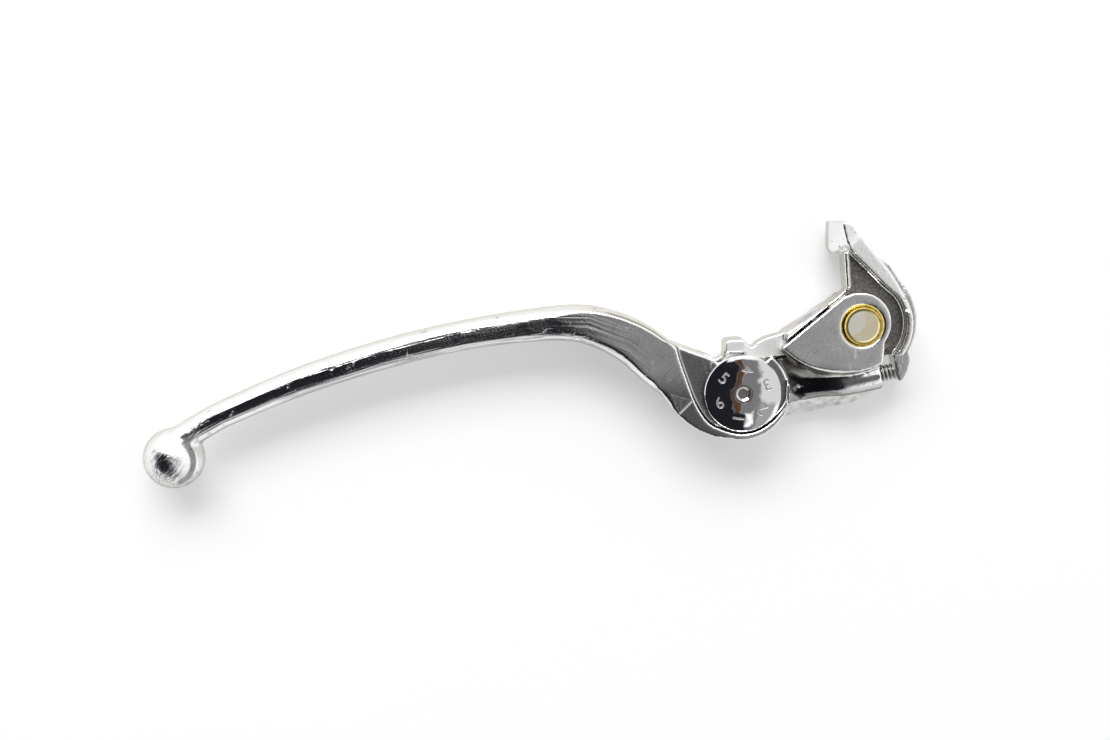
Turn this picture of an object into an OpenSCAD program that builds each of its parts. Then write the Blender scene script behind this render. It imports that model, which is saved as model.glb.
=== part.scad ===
// Motorcycle clutch lever with a six-position reach adjuster.
// The lever blade and the knocker both turn on one pivot bush. A numbered dial
// turns a cam between the blade's fork ears. The knocker's arm rests on that cam,
// and a small return spring holds it there.
// Frame: origin on the pivot axis at half height, +Z along the pivot bolt,
// +Y towards the handlebar, the ball end towards -X. Millimetres.

/* [Pivot] */
// Bore of the pivot bush, for the shank of the pivot bolt
bush_bore_d = 8; // [6:0.5:9]
// Outside diameter of the pivot bush
bush_od = 10; // [9.5:0.1:12]
// How far the bush stands proud of each fork ear
bush_proud = 0.7; // [0.2:0.1:1.5]
// Wall of the fork ear round the bush
ear_wall = 3.3; // [2.5:0.1:4]

/* [Head] */
// Thickness of the head over both fork ears
head_t = 13.6; // [12.4:0.2:17]
// Width of the slot between the fork ears
slot_w = 6.6; // [5.6:0.2:7.4]
// Depth of the pocket that the dial sits in
pocket_depth = 2.2; // [1.6:0.1:2.4]
// Width of the head's rim below the dial
rim_w = 2.3; // [1.8:0.1:3.4]

/* [Blade] */
// Distance from the pivot to the centre of the ball, along X
ball_x = 184.4; // [150:0.2:225]
// Diameter of the ball
ball_d = 16.6; // [14:0.2:20]
// Width of the blade at its middle, in the plane of the lever
blade_w = 8; // [6:0.2:10]
// Height of the blade at its middle, along the pivot axis
blade_h = 11.8; // [9:0.2:13]

/* [Adjuster] */
// Diameter of the numbered dial
dial_d = 20.6; // [18:0.2:22]
// Thickness of the dial at its edge
dial_edge_t = 1.7; // [1:0.1:1.8]
// Rise of the dial's domed face
dial_dome = 0.8; // [0.6:0.1:1.2]
// Number of positions on the dial
positions = 6; // [4:1:6]
// Change of reach from the first to the last position, in degrees
reach_span = 6; // [4:0.5:7]
// Cam radius at the position nearest the handlebar
cam_low_r = 5.6; // [5.4:0.1:6]
// Depth of the flat at each position of the cam
cam_flat = 0.2; // [0.1:0.05:0.3]
// Diameter of the adjuster pin
pin_d = 4; // [3:0.5:5]
// Diameter of the pin's head in the middle of the dial
pin_head_d = 5; // [4.6:0.2:6.4]

/* [Knocker] */
// Height of the knocker's horn along the pivot axis
horn_t = 12.6; // [10:0.2:16]
// Thickness of the knocker's curved wall on the upper side
horn_wall = 1.7; // [1.4:0.1:2.4]
// Length of the horn from the pivot to its tip
horn_len = 27.4; // [24:0.2:33]
// Diameter of the pushrod seat's head
seat_d = 6.4; // [5:0.2:7.6]

/* [Return spring] */
// Outside diameter of the return spring
spring_od = 4.4; // [3.6:0.2:5]
// Diameter of the spring wire
wire_d = 0.6; // [0.4:0.05:0.8]
// Number of turns in the spring
spring_turns = 11; // [7:1:14]
// Open length of the spring between the lug and the knocker
spring_gap = 4.8; // [4:0.1:6]

/* [Clearances] */
// Radial running clearance of bores that turn on a shaft
running_gap = 0.04; // [0.02:0.01:0.08]
// Clearance between moving faces
face_gap = 0.1; // [0.05:0.05:0.2]
// Radial clearance of loose pieces
loose_gap = 0.25; // [0.15:0.05:0.4]

/* [Hidden] */
$fn = 48;

bush_r = bush_od / 2;
ear_z = head_t / 2;                     // outer faces of the ears, above and below zero
slot_z = slot_w / 2;                    // inner faces of the ears
shim_t = 0.4;
web_z = slot_z - shim_t - face_gap;     // half thickness of the knocker between the ears
horn_z = horn_t / 2;
boss_r = bush_r + 3;                    // knocker's boss round the bush
ear_r = bush_r + ear_wall;

dial_r = dial_d / 2;
dial_c = [-31.6, -18];                  // dial axis
pocket_z = ear_z - pocket_depth;        // floor of the dial pocket
dial_z = pocket_z + 0.4;                // underside of the dial
dial_top = dial_z + dial_edge_t + dial_dome;
pin_r = pin_d / 2;
hub_r = pin_r + 2.2;                    // dial hub, which drives the cam by two flats
hub_flat = 2 * hub_r - 1.6;             // width over the hub's flats
head_h = 0.8;                           // pin head
e_ring_t = 0.6;

contact_a = 106;                        // direction from the dial axis to the knocker's nose
nose_r = 2.5;
nose_c = dial_c + (cam_low_r + face_gap + nose_r) * [cos(contact_a), sin(contact_a)];
step_a = 60;                            // dial turn from one position to the next
dial_span = step_a * (positions - 1);

ball_c = [-ball_x, -35.7];
ball_r = ball_d / 2;
stretch = (ball_x - 60) / (184.4 - 60); // the blade beyond the dogleg follows the ball

spring_dir = 12;                        // direction of the spring axis, in degrees
lug_mouth = [6.1, -13.9];
hole_r = spring_od / 2 + loose_gap;
hole_depth = 7.5;
lug_r = hole_r + 1.5;
seat_c = lug_mouth + spring_gap * [cos(spring_dir), sin(spring_dir)];

horn_in = 12;                           // radius of the horn's inner wall about the pivot
horn_out = horn_in + horn_wall;
skirt_out = horn_out + 2.5;             // the wider lower band of the horn
rod_a = 123.3;                          // direction that the pushrod pushes back along
rod_c = [-13.4, 2.1];                   // middle of the pushrod seat on the arm's edge

// ---- Curves ----

function polar(c, r, a) = c + r * [cos(a), sin(a)];
function arc(c, r, a0, a1, n = 12) = [for (i = [0:n]) polar(c, r, a0 + (a1 - a0) * i / n)];
function plane(p) = [p[0], p[1]];
// Running length of a chain of knots, measured in the XY plane
function run(k, i) = i == 0 ? 0 : run(k, i - 1) + norm(plane(k[i]) - plane(k[i - 1]));
function slope(k, i) =
    let (a = max(i - 1, 0), b = min(i + 1, len(k) - 1))
    (k[b] - k[a]) / (run(k, b) - run(k, a));
// A smooth curve through the knots, with n steps between each pair
function spline(k, n = 4) = [
    for (i = [0:len(k) - 2], j = [0:n - 1])
        let (t = j / n, d = norm(plane(k[i + 1]) - plane(k[i])))
        (2 * t ^ 3 - 3 * t ^ 2 + 1) * k[i] + (t ^ 3 - 2 * t ^ 2 + t) * d * slope(k, i)
        + (3 * t ^ 2 - 2 * t ^ 3) * k[i + 1] + (t ^ 3 - t ^ 2) * d * slope(k, i + 1),
    k[len(k) - 1]];

// ---- Helpers ----

module slab(z0, z1) {
    translate([0, 0, z0]) linear_extrude(z1 - z0) children();
}

module at(p) {
    translate([p[0], p[1], 0]) children();
}

module ring(r_out, r_in, z0, z1) {
    difference() {
        translate([0, 0, z0]) cylinder(r = r_out, h = z1 - z0);
        translate([0, 0, z0 - 1]) cylinder(r = r_in, h = z1 - z0 + 2);
    }
}

// A closed tube of cross-sections, each a list of the same number of 3-D points
module skin(sections) {
    m = len(sections[0]);
    n = len(sections);
    polyhedron(
        points = [for (s = sections) each s],
        faces = concat(
            [[for (j = [0:m - 1]) j]],
            [for (i = [0:n - 2], j = [0:m - 1]) each [
                [i * m + j, (i + 1) * m + j, i * m + (j + 1) % m],
                [i * m + (j + 1) % m, (i + 1) * m + j, (i + 1) * m + (j + 1) % m]]],
            [[for (j = [m - 1:-1:0]) (n - 1) * m + j]]),
        convexity = 6);
}

// ---- Lever blade ----

// Each knot: x, y, half width, half height, squareness of the section
half_w = blade_w / 2;
half_h = blade_h / 2;
neck = ball_c + [2.2, 5.3] * ball_r / 8.3;
function out(x) = -60 - (-60 - x) * stretch;
blade_knots = [
    [neck[0], neck[1], half_w - 0.1, half_h - 0.4, 2],
    [neck[0] + 5.2, neck[1] + 3.2, half_w - 0.2, half_h - 0.9, 2.1],
    [out(-170.7), -23.7, half_w - 0.3, half_h - 0.9, 2.3],
    [out(-150), -15, half_w - 0.1, half_h - 0.6, 2.5],
    [out(-128), -7.9, half_w, half_h - 0.2, 2.6],
    [out(-106.2), -2.7, half_w, half_h, 2.8],
    [out(-84), 0.3, half_w + 0.5, (half_h + ear_z) / 2 + 0.1, 2.9],
    [out(-73), 0.1, half_w + 1.2, ear_z + 0.4, 2.9],
    [-61.8, -4.1, half_w + 2, ear_z + 0.8, 3],
    [-53.6, -10.5, half_w + 2.5, ear_z + 0.9, 3.2],
    [-46.7, -17.6, half_w + 1.2, ear_z - 0.9, 4]];

// Superellipse round p, across the direction of travel d
function section(p, d, n = 24) =
    let (a = [-d[1], d[0]] / norm(d), e = 2 / p[4])
    [for (i = [0:n - 1])
        let (t = 360 * (i + 0.5) / n, c = cos(t), s = sin(t),
            u = p[2] * sign(c) * abs(c) ^ e, v = p[3] * sign(s) * abs(s) ^ e)
        [p[0] + a[0] * u, p[1] + a[1] * u, v]];

// The neck swells past the head's thickness and is cut flat in line with the ears
module blade_arm() {
    path = spline(blade_knots, 3);
    last = len(path) - 1;
    intersection() {
        skin([for (i = [0:last]) section(path[i], path[min(i + 1, last)] - path[max(i - 1, 0)])]);
        slab(-ear_z, ear_z) translate([-ball_x - 40, -100]) square([ball_x + 60, 200]);
    }
    translate([ball_c[0], ball_c[1], 0]) sphere(r = ball_r);
}

// Outline of the ear round the pivot, seen along the pivot axis
apex = dial_c + [dial_r + 0.3, dial_r + 2.1];
ear_top_edge = polar([0, 0], ear_r + 1, 122);
module ear_plan() {
    polygon(concat(
        [apex, ear_top_edge],
        arc([-0.6, 0.6], ear_r, 118, -38),
        [[5.8, -9.6], [3.9, -11]],
        spline([[3.8, -11.2], [-1.4, -12.3], [-7.1, -12.5], [-12.7, -11.4], [-17.5, -8.9], apex], 3)));
}

// Outline of the head below the ear: from the blade's root, round the dial, to the lug
rim_r = dial_r + rim_w;
lug_top = lug_mouth[1] + lug_r;
lug_low = lug_mouth[1] - lug_r;
module head_plan(grow) {
    polygon(concat(
        [[-57.5, -2.6], [-52, -4.1], [-45.6, -6.7], [-41.5, -8.1], [-39.2, -9.1]],
        arc(dial_c, dial_r - 0.3, 128, 52),
        [apex, [-10, -3], [2, -8], [lug_mouth[0], lug_top]],
        grow ? [[lug_mouth[0] + 0.3, lug_low - 0.5], [0.7, lug_low - 4.3], [-12, lug_low - 7]]
            : [[lug_mouth[0], lug_low + 1], [-5.2, lug_low - 1.2], [-13, lug_low - 2.9]],
        grow ? [] : [[-17.5, lug_low - 3.4]],
        arc(dial_c, rim_r, grow ? -42 : -30, -104, 10),
        spline([[-38.6, -29.9], [-43.8, -27.7], [-48.7, -23.9], [-52.4, -19.3]], 3),
        [[-56.6, -13.6]]));
}

// Outline of the pocket that the dial sits in, open towards the handlebar
module pocket_plan() {
    polygon(concat(
        spline([[-50.2, -3], [-48.6, -8.8], [-46.9, -13.6], [-44, -21], [-40.4, -26.1],
            polar(dial_c, dial_r + 0.75, -112)], 3),
        arc(dial_c, dial_r + 0.7, -100, -50, 6),
        spline([polar(dial_c, dial_r + 0.9, -42), polar(dial_c, dial_r + 2, -14),
            polar(dial_c, dial_r + 2.3, 10), polar(dial_c, dial_r + 3.4, 36), apex + [-1.2, 0.3],
            [-22, 3]], 3),
        [[-50.2, 3]]));
}

// Slot between the ears for the cam and the knocker, open towards the handlebar
module slot_plan() {
    polygon(concat(
        [[-41.6, 16], [-41.6, -14]],
        arc(dial_c, cam_r(dial_span) + 0.5, 160, 420, 24),
        [[-20.2, -9.1]],
        arc([0, 0], boss_r + 0.4, 218, 262, 6),
        [[lug_mouth[0] - 4, lug_top + 0.5], [lug_mouth[0] + 9, lug_top + 0.5], [20, 16]]));
}

// Triangle that points at the chosen number
module index_mark() {
    slab(ear_z - 0.3, ear_z + 0.3) polygon([[-50.4, -18.4], [-45.4, -20.2], [-48.4, -23]]);
}

module spring_axis(s0) {
    translate([lug_mouth[0], lug_mouth[1], 0]) rotate([0, 90, spring_dir])
        translate([0, 0, s0]) children();
}

// Hollow swept along the lower edge of the ear, which thins the head towards the spine
module scoop() {
    scoop_r = 7;
    ear_sweep = 22.6;
    difference() {
        translate([-5, 9.9, ear_z + 0.2]) rotate_extrude($fn = 96)
            translate([ear_sweep + scoop_r, 0]) circle(r = scoop_r);
        at(dial_c) translate([0, 0, -20]) cylinder(r = rim_r + 0.1, h = 40);
        translate([-80, -50, -20]) cube([80 + dial_c[0], 100, 40]);
    }
}

// The spine's outer face falls away below the head
module spine_slope() {
    translate([-5.2, lug_low - 1.3, -1.2]) rotate([0, 0, spring_dir]) rotate([35, 0, 0])
        translate([-30, -30, 0]) cube([60, 60, 10]);
}

module lever_blade() {
    color([0.78, 0.79, 0.8])
    difference() {
        union() {
            blade_arm();
            slab(-ear_z, ear_z) ear_plan();
            index_mark();
            difference() {
                union() {
                    slab(-ear_z, ear_z) head_plan(false);
                    difference() {
                        slab(-ear_z, -1.2) head_plan(true);
                        spine_slope();
                    }
                }
                scoop();
            }
            spring_axis(-10) cylinder(r = lug_r, h = 10);
            hull() {
                spring_axis(-10) sphere(r = lug_r);
                translate([-15.5, -18, -1.8]) sphere(r = 2.4);
            }
        }
        slab(-slot_z, slot_z) slot_plan();
        slab(pocket_z, 2 * ear_z) pocket_plan();
        translate([0, 0, -20]) cylinder(r = bush_r + running_gap, h = 40);
        translate([0, 0, ear_z - 0.8]) cylinder(r1 = bush_r + running_gap, r2 = bush_r + 1, h = 0.81);
        at(dial_c) translate([0, 0, -20]) cylinder(r = pin_r, h = 21);
        at(dial_c) cylinder(r = hub_r + face_gap, h = 20);
        spring_axis(-hole_depth) cylinder(r = hole_r, h = 20);
    }
}

// ---- Knocker ----

module web_plan() {
    circle(r = boss_r);
    polygon(concat(
        [[-6.5, -4.6], [-20, -8.2], [-28, -9.4], nose_c + [nose_r, 0.6]],
        arc(nose_c, nose_r, 0, -180, 14),
        [[nose_c[0] - nose_r, -6.2], [nose_c[0] - nose_r + 0.4, -4.6], [nose_c[0] - nose_r + 1.4, -3.9],
            [-31.2, -3.8], [-30.3, -4.6], [-29.4, -5.9], [-28.2, -5.9], [-27.2, -4.7], [-25.4, -3.7],
            [-21, -2.4], [-14.7, 1.1], [-8.7, 5.3], [-5.4, 7.9], [-3.4, 9.9]],
        [[-4.4, 18.6], [-4.2, 21], [2.5, 14.4], [9.4, 9]],
        arc([0, 0], horn_in + 0.5, 40, -40),
        [[5.5, -5.8]]));
}

// Straight stretch of the horn, from the curved wall up to the tip
tip_in = [-4.4, horn_len - 5.4];
tip_top = [-5.6, horn_len - 0.1];
module horn_plan() {
    polygon(concat(
        [tip_in, tip_top, [-4.3, horn_len + 0.1], [-3.2, horn_len - 0.4]],
        spline([[-2.6, horn_len - 1], [0.6, horn_len - 5.4], [5.4, 16.4], [8, 13.2],
            polar([0, 0], horn_out + 0.1, 38)], 2),
        arc([0, 0], horn_out, 30, -36),
        [polar([0, 0], horn_in, -42)],
        arc([0, 0], horn_in, -38, 41),
        [[5.7, 10.7], [-3.9, 20]]));
}

// Wider lower band of the horn and the foot that the spring bears on
module skirt_plan() {
    n = [-sin(spring_dir), cos(spring_dir)];
    polygon(concat(
        [[3.4, 18.4], [5.4, 17.9], [8.5, 15.7]],
        arc([0, 0], skirt_out, 46, -28),
        [[14.9, -9.8], [14.2, -13.2], [13.2, -15.2], [12.4, -15.8], seat_c + n * (-2.8), seat_c + n * 2.6],
        [[9.7, -8.2]],
        arc([0, 0], horn_in, -38, 41),
        [[5.7, 10.7], [2.5, 14]]));
}

// Flat pad on the tip, which meets the stop on the cylinder body
module tip_pad() {
    corner = tip_in + [-1.5, -1.2];
    hull() {
        slab(horn_z - 0.4, horn_z) polygon([tip_in, tip_top + [0.3, 0], [-3.2, horn_len - 0.3], [0, 22]]);
        slab(-horn_z, horn_z - 8) polygon(concat([tip_top + [-2.4, 0], [-3.2, horn_len - 0.3], [0, 21],
            tip_in + [0.6, -3]], arc(corner, 2.1, -100, -180, 6)));
    }
}

// The horn's top face falls away towards the tip
module tip_slope() {
    translate([-1, horn_len - 4.6, horn_z]) rotate([0, 0, 41]) rotate([-9, 0, 0])
        translate([-10, 0, 0]) cube([20, 20, 5]);
}

// Thin rib along the free edge of the web below the tip
module web_rib() {
    slab(-web_z, web_z + 1.8) polygon([[-5, horn_len - 7.8], [-3.8, horn_len - 8], [-3.1, 9.7], [-4.1, 9.9]]);
}

// Flange along the arm's edge, outside the ears
module arm_flange() {
    edge = ear_top_edge - apex;
    n = [-edge[1], edge[0]] / norm(edge);
    gap = 2 * loose_gap;
    polygon([apex + edge * 0.08 + n * gap, apex + edge * 0.8 + n * gap, apex + edge * 0.79 + n * (gap + 0.13),
        apex + edge * 0.45 + n * (gap + 0.7), apex + edge * 0.14 + n * (gap + 1.63)]);
}

module rod_axis(s0) {
    translate([rod_c[0], rod_c[1], 0]) rotate([0, 90, rod_a]) translate([0, 0, s0]) children();
}

module knocker() {
    color([0.7, 0.71, 0.72])
    difference() {
        union() {
            slab(-web_z, web_z) web_plan();
            slab(-horn_z, horn_z) horn_plan();
            slab(-horn_z + 0.01, 0.6) skirt_plan();
            tip_pad();
            web_rib();
            slab(-5, 5) arm_flange();
            slab(-4.4, 4.4) polygon([[-36.2, -7.3], [-36.2, -4.7], [-35.2, -3.9], [-31.3, -3.8], [-30.5, -4.6],
                [-30.5, -7.3]]);
        }
        translate([0, 0, -20]) cylinder(r = bush_r + running_gap, h = 40);
        rod_axis(-5.6) cylinder(r = seat_d / 4, h = 20);
        rod_axis(-1.4) cylinder(r = seat_d / 2, h = 20);
        tip_slope();
    }
}

module pushrod_seat() {
    color([0.55, 0.56, 0.58])
    difference() {
        union() {
            rod_axis(-5.4) cylinder(r = seat_d / 4, h = 5);
            rod_axis(-1.4) cylinder(r = seat_d / 2, h = 1.4);
        }
        rod_axis(4.1) sphere(r = 4.8);
    }
}

// ---- Pivot ----

module pivot_bush() {
    half = ear_z + bush_proud;
    lip = 0.4;
    color([0.85, 0.65, 0.2])
    difference() {
        rotate_extrude() polygon([[1, -half], [bush_r - 0.3, -half], [bush_r, -half + 0.3],
            [bush_r, half - 0.3], [bush_r - 0.3, half], [1, half]]);
        translate([0, 0, -half - 1]) cylinder(d = bush_bore_d, h = 2 * half + 2);
        for (s = [0, 1]) mirror([0, 0, s]) translate([0, 0, half - lip])
            cylinder(d1 = bush_bore_d, d2 = bush_bore_d + 2 * lip + 0.02, h = lip + 0.01);
    }
}

module shim() {
    ring(boss_r - 0.4, bush_r + face_gap, web_z, web_z + shim_t);
}

// ---- Adjuster ----

// Place of the nose in the blade's frame when the dial has turned by a, and its spin in the dial's frame
function nose_at(a) =
    let (q = -a * reach_span / dial_span)
    [nose_c[0] * cos(q) - nose_c[1] * sin(q), nose_c[0] * sin(q) + nose_c[1] * cos(q)] - dial_c;
function cam_r(a) = norm(nose_at(a)) - nose_r - face_gap;
function cam_spin(a) = atan2(nose_at(a)[1], nose_at(a)[0]) - a;
// The flats cut below the spiral, at each position
function flat_r(b) = min([for (i = [0:positions - 1])
    let (d = abs((b - cam_spin(i * step_a) + 540) % 360 - 180))
    d < 30 ? (cam_r(i * step_a) - cam_flat) / cos(d) : 100]);

module cam_plan() {
    steps = dial_span / 5;
    high = cam_r(dial_span);
    low = cam_r(0);
    fall0 = cam_spin(dial_span) - 10;
    fall1 = cam_spin(0) - 360 + 18;
    polygon(concat(
        [for (i = [0:steps]) let (a = i * dial_span / steps, b = cam_spin(a))
            min(cam_r(a), flat_r(b)) * [cos(b), sin(b)]],
        [for (i = [0:8]) let (t = i / 8, b = fall0 + (fall1 - fall0) * t, w = (1 - cos(180 * t)) / 2)
            min(high + (low - high) * w, flat_r(b)) * [cos(b), sin(b)]]));
}

module drive_plan(gap) {
    intersection() {
        circle(r = hub_r + gap);
        square([2 * hub_r + 2, hub_flat + 2 * gap], center = true);
    }
}

module adjuster_cam() {
    color([0.5, 0.51, 0.53])
    difference() {
        at(dial_c) slab(-web_z, web_z) cam_plan();
        at(dial_c) slab(-20, 20) drive_plan(0.03);
    }
}

module adjuster_dial() {
    color([0.9, 0.9, 0.92])
    at(dial_c) difference() {
        union() {
            rotate_extrude($fn = 96) polygon(concat(
                [[0, dial_z], [dial_r - 0.3, dial_z], [dial_r, dial_z + 0.3]],
                [for (i = [0:8]) let (x = dial_r * (1 - i / 8) - (i == 0 ? 0 : 0.2))
                    [max(x, 0), dial_top - dial_dome * (max(x, 0) / dial_r) ^ 2]]));
            slab(web_z, dial_z + 0.1) circle(r = hub_r);
            slab(-web_z, web_z + 0.1) drive_plan(0);
        }
        translate([0, 0, -20]) cylinder(r = pin_r + running_gap, h = 40);
        translate([0, 0, dial_top - head_h - 0.2]) cylinder(r = pin_head_d / 2 + face_gap, h = 5);
    }
}

module adjuster_pin() {
    top = dial_top - 0.1;
    low = -ear_z - e_ring_t - 0.7;
    groove = pin_r * 0.3;
    color([0.62, 0.63, 0.65])
    at(dial_c) difference() {
        union() {
            translate([0, 0, low]) cylinder(r = pin_r, h = top - low - 0.1);
            translate([0, 0, top - head_h]) cylinder(r = pin_head_d / 2, h = head_h);
        }
        ring(pin_r + 1, pin_r - groove, -ear_z - e_ring_t - 0.15, -ear_z - 0.05);
        translate([0, 0, top - 0.35]) cylinder(r1 = pin_head_d / 2 - 1.1, r2 = pin_head_d / 2 - 0.5, h = 0.4);
    }
}

module pin_e_ring() {
    inner = pin_r * 0.7 + 0.02;
    color([0.3, 0.3, 0.32])
    at(dial_c) slab(-ear_z - e_ring_t - 0.1, -ear_z - 0.1) difference() {
        circle(r = pin_r * 1.9);
        circle(r = inner);
        translate([0, -pin_r]) square([2 * inner, 2 * pin_r], center = true);
        for (a = [30, 150]) rotate(a) translate([pin_r * 1.15, 0]) circle(r = pin_r * 0.35);
    }
}

module wave_washer() {
    r0 = hub_r + 2 * face_gap;
    r1 = dial_r - 1.6;
    wave = 0.08;
    t = 0.14;
    n = 36;
    mid = pocket_z + 0.2;
    color([0.6, 0.6, 0.62])
    at(dial_c) polyhedron(
        points = [for (i = [0:n - 1])
            let (a = 360 * i / n, z = mid + wave * cos(3 * a))
            each [for (p = [[r0, -t / 2], [r1, -t / 2], [r1, t / 2], [r0, t / 2]])
                [p[0] * cos(a), p[0] * sin(a), z + p[1]]]],
        faces = [for (i = [0:n - 1], j = [0:3])
            let (k = (i + 1) % n, m = (j + 1) % 4)
            each [[4 * i + j, 4 * i + m, 4 * k + j], [4 * i + m, 4 * k + m, 4 * k + j]]],
        convexity = 6);
}

// ---- Return spring ----

module return_spring() {
    per_turn = 12;
    rings = spring_turns * per_turn;
    coil_r = (spring_od - wire_d) / 2;
    length = hole_depth + spring_gap - wire_d - 2 * face_gap;
    color([0.35, 0.38, 0.36])
    spring_axis(-hole_depth + wire_d / 2 + face_gap)
    skin([for (i = [0:rings])
        let (a = 360 * i / per_turn, z = length * i / rings)
        [for (j = [0:5]) let (b = 60 * j, r = coil_r + wire_d / 2 * cos(b))
            [r * cos(a), r * sin(a), z + wire_d / 2 * sin(b)]]]);
}

lever_blade();
knocker();
pivot_bush();
color([0.75, 0.7, 0.6]) shim();  // upper_shim
color([0.75, 0.7, 0.6]) mirror([0, 0, 1]) shim();  // lower_shim
adjuster_dial();
adjuster_cam();
adjuster_pin();
pin_e_ring();
wave_washer();
return_spring();
pushrod_seat();
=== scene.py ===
import math

import bpy
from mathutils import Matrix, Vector


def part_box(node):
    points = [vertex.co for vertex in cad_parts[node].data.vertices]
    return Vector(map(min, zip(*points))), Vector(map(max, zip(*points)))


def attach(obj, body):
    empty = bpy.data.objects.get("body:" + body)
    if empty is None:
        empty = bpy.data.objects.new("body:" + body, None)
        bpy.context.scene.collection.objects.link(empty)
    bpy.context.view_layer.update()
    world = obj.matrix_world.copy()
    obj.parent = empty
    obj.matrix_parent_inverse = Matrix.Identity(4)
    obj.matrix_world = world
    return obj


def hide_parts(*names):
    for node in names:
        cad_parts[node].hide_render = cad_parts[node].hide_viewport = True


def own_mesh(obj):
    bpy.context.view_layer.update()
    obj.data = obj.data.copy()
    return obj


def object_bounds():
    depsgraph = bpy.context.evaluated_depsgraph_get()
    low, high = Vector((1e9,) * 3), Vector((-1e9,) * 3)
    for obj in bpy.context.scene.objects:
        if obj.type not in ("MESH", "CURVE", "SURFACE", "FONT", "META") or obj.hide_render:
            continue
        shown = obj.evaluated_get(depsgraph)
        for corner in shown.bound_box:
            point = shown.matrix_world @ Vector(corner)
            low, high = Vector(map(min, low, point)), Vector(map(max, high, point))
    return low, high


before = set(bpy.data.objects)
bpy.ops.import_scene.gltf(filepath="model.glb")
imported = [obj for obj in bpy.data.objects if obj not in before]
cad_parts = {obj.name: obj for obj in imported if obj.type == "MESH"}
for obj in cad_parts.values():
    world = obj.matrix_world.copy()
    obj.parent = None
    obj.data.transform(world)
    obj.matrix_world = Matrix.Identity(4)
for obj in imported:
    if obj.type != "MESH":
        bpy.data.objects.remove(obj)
cad_box = [list(corner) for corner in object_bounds()]


# ---- Pivot bush -------------------------------------------------------------
# A turned brass tube that the pivot bolt clamps to the perch. The knocker and
# the blade both swing on it. Its paler bore is a painted reflection of the table.

def new_material(name, colour, metallic, roughness):
    """A material with its own Principled shader, for the caller to add to."""
    material = bpy.data.materials.new(name)
    material.use_nodes = True
    shader = material.node_tree.nodes["Principled BSDF"]
    shader.inputs["Base Color"].default_value = (*colour, 1)
    shader.inputs["Metallic"].default_value = metallic
    shader.inputs["Roughness"].default_value = roughness
    return material, shader


def put(tree, kind, **inputs):
    """A node of that kind in the tree, with its input values set by name."""
    node = tree.nodes.new(kind)
    for key, value in inputs.items():
        node.inputs[key.replace("_", " ")].default_value = value
    return node


def make_group(name, inputs, outputs):
    """An empty node group with float inputs, each with a default, and typed outputs."""
    group = bpy.data.node_groups.new(name, "ShaderNodeTree")
    for socket, default in inputs.items():
        made = group.interface.new_socket(socket, in_out="INPUT", socket_type="NodeSocketFloat")
        made.default_value = default
    for socket, kind in outputs.items():
        group.interface.new_socket(socket, in_out="OUTPUT", socket_type=kind)
    return group, group.nodes.new("NodeGroupInput"), group.nodes.new("NodeGroupOutput")


def place(tree, group, **inputs):
    """One use of a node group in a material's tree."""
    node = tree.nodes.new("ShaderNodeGroup")
    node.node_tree = group
    for key, value in inputs.items():
        node.inputs[key.replace("_", " ")].default_value = value
    return node


def calc(tree, operation, a, b=None, clamp=False):
    """A Math node on two values, each a socket or a number."""
    node = tree.nodes.new("ShaderNodeMath")
    node.operation = operation
    node.use_clamp = clamp
    for index, value in enumerate((a, b)):
        if value is None:
            continue
        if isinstance(value, (int, float)):
            node.inputs[index].default_value = value
        else:
            tree.links.new(value, node.inputs[index])
    return node.outputs[0]


def blend_colour(tree, factor, a, b):
    """A colour mix of a and b, each a socket or a colour, by a factor socket."""
    node = tree.nodes.new("ShaderNodeMix")
    node.data_type = "RGBA"
    tree.links.new(factor, node.inputs["Factor"])
    for socket, value in ((node.inputs[6], a), (node.inputs[7], b)):
        if isinstance(value, tuple):
            socket.default_value = (*value, 1)
        else:
            tree.links.new(value, socket)
    return node.outputs[2]


def spread(tree, value, low, high, to_low=0.0, to_high=1.0):
    """A value mapped from one range to another and held within it."""
    node = put(tree, "ShaderNodeMapRange")
    tree.links.new(value, node.inputs["Value"])
    node.inputs["From Min"].default_value = low
    node.inputs["From Max"].default_value = high
    node.inputs["To Min"].default_value = to_low
    node.inputs["To Max"].default_value = to_high
    return node.outputs["Result"]


# Turning marks: fine rings round an axis, with a little unevenness.
turned, turned_in, turned_out = make_group(
    "turning_marks", {"Centre X": 0.0, "Centre Y": 0.0, "Rings": 9000.0, "Unevenness": 0.4},
    {"Height": "NodeSocketFloat", "Tone": "NodeSocketFloat", "Radius": "NodeSocketFloat"})
where = turned.nodes.new("ShaderNodeTexCoord")
split = turned.nodes.new("ShaderNodeSeparateXYZ")
turned.links.new(where.outputs["Object"], split.inputs[0])
dx = calc(turned, "SUBTRACT", split.outputs["X"], turned_in.outputs["Centre X"])
dy = calc(turned, "SUBTRACT", split.outputs["Y"], turned_in.outputs["Centre Y"])
radius = calc(turned, "SQRT", calc(turned, "ADD", calc(turned, "MULTIPLY", dx, dx),
                                   calc(turned, "MULTIPLY", dy, dy)))
along = calc(turned, "ADD", radius, split.outputs["Z"])
grooves = calc(turned, "SINE", calc(turned, "MULTIPLY", along, turned_in.outputs["Rings"]))
stain = put(turned, "ShaderNodeTexNoise", Scale=900.0, Detail=3.0, Roughness=0.6)
turned.links.new(where.outputs["Object"], stain.inputs["Vector"])
uneven = calc(turned, "MULTIPLY", stain.outputs["Fac"], turned_in.outputs["Unevenness"])
turned.links.new(calc(turned, "ADD", calc(turned, "MULTIPLY", grooves, 0.5), uneven),
                 turned_out.inputs["Height"])
turned.links.new(stain.outputs["Fac"], turned_out.inputs["Tone"])
turned.links.new(radius, turned_out.inputs["Radius"])


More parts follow.
